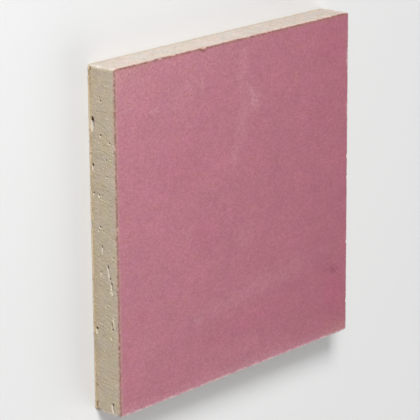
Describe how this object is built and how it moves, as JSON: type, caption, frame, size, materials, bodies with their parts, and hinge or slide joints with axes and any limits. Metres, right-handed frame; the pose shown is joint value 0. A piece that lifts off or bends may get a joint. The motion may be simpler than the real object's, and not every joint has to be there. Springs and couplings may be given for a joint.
{
  "type": "drywall sheet",
  "caption": "Square piece of fire-rated gypsum board: bare-edged gypsum core between a pink face paper and a tan back paper, for lining walls and ceilings.",
  "frame": {"origin": "centre of the back face, on the surface that the sheet lies on", "axes": "+X across the sheet, +Y along the sheet, +Z out of the pink face"},
  "size_m": [0.15, 0.15, 0.015],
  "materials": {
    "gypsum": "matte, saw-cut, chalky, with small air bubbles",
    "face_paper": "matte uncoated pink paper with a faint fibre mottle",
    "back_paper": "matte uncoated tan recycled paper, fibrous where cut"
  },
  "bodies": {
    "root": {"gypsum_core": "gypsum", "face_paper": "face_paper", "back_paper": "back_paper"}
  },
  "joints": []
}
